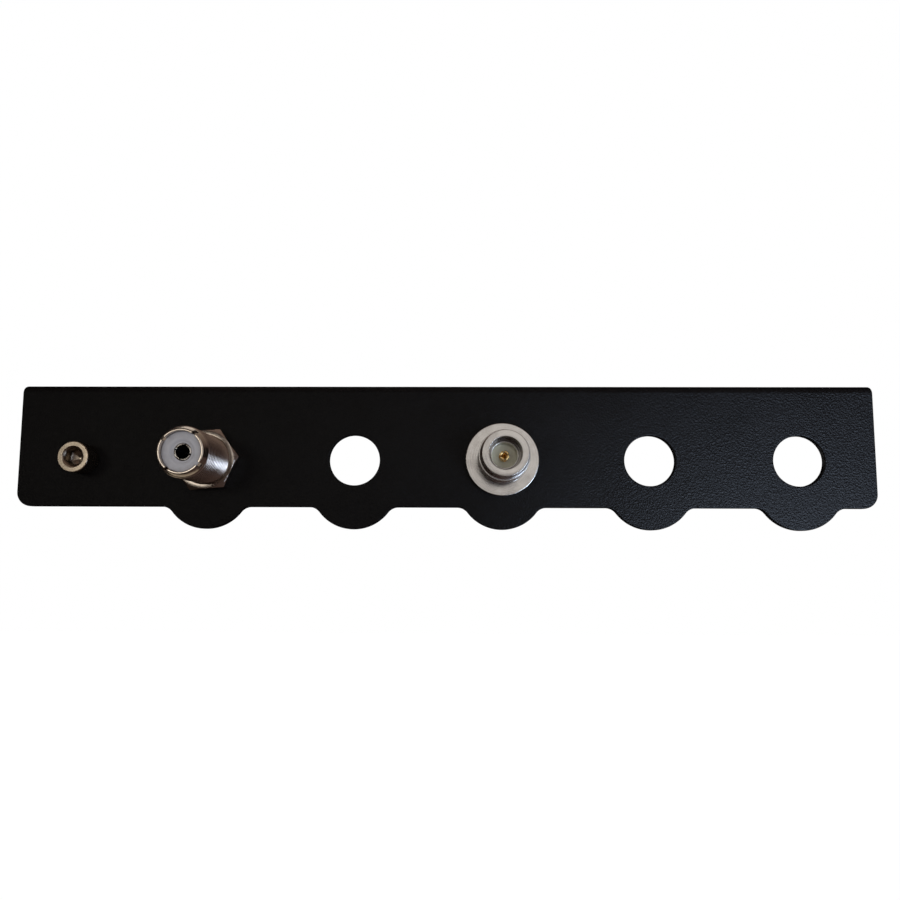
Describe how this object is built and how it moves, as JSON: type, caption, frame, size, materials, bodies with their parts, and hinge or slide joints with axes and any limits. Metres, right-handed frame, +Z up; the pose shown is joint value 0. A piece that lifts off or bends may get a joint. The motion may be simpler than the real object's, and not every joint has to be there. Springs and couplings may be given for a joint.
{
  "type": "grounding strip",
  "caption": "Black folded sheet strip with a lobed lower edge, round connector holes, a barrel connector, a flanged connector and an earth screw, for grounding coaxial cables.",
  "frame": {"origin": "midway between the two fixing holes, on the flange's outer face", "axes": "+X along the strip, the front plate faces -Y, +Z up out of the fixing face"},
  "size_m": [0.279, 0.049, 0.0475],
  "materials": {
    "powder_coat": "satin",
    "stainless": "satin",
    "plated_steel": "satin",
    "nickel_plated_brass": "satin",
    "silver_plated_brass": "satin",
    "gold_plated_brass": "polished",
    "grey_insulator": "satin",
    "white_insulator": "satin",
    "gasket_rubber": "matte"
  },
  "bodies": {
    "root": {"strip": "powder_coat", "earth_screw": "stainless", "earth_lock_washer": "stainless", "earth_fixing_nut": "stainless", "earth_lug_washer": "stainless", "earth_spring_washer": "stainless", "earth_lug_nut": "stainless", "uhf_shell": "nickel_plated_brass", "uhf_front_insulator": "grey_insulator", "uhf_rear_insulator": "grey_insulator", "uhf_contact": "silver_plated_brass", "uhf_front_nut": "nickel_plated_brass", "uhf_rear_nut": "nickel_plated_brass", "uhf_lock_washer": "plated_steel", "n_shell": "nickel_plated_brass", "n_gasket": "gasket_rubber", "n_front_insulator": "white_insulator", "n_rear_insulator": "white_insulator", "n_contact": "gold_plated_brass", "n_nut": "nickel_plated_brass", "n_lock_washer": "plated_steel"}
  },
  "joints": []
}
